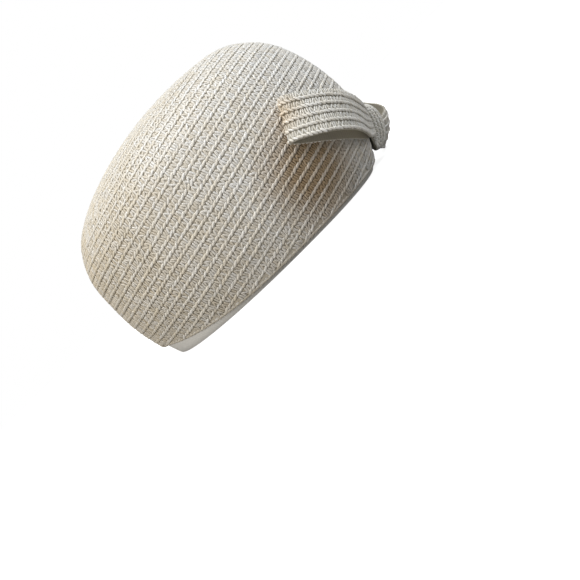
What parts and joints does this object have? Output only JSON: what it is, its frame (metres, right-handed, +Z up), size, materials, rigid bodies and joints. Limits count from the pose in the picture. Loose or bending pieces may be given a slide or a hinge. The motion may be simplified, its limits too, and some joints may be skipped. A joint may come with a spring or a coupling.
{
  "type": "brimless straw toque with a bow",
  "caption": "Rounded brimless hat of sewn straw braid with a ribbon band inside the rim and a flat bow of the same braid at the front.",
  "frame": {"origin": "middle of the footprint of the whole hat, on the surface that the lower edge of its band rests on", "axes": "+Z up out of the top of the crown, -Y towards the front with the bow, -X towards the wearer's right"},
  "size_m": [0.2032, 0.2506, 0.1372],
  "materials": {
    "straw_braid": "silky ivory straw braid sewn in shingled rows, each with a lacy body and a corded edge",
    "ribbon": "smooth cream ribbon with fine cross ribs and a soft sheen",
    "bow_braid": "the same braid in five rows, backed with cream ribbon",
    "knot_braid": "the same braid gathered round the middle of the bow"
  },
  "bodies": {
    "root": {"crown": "straw_braid", "headband": "ribbon", "bow_loop_right": "bow_braid", "bow_loop_left": "bow_braid", "bow_knot": "knot_braid"}
  },
  "joints": []
}
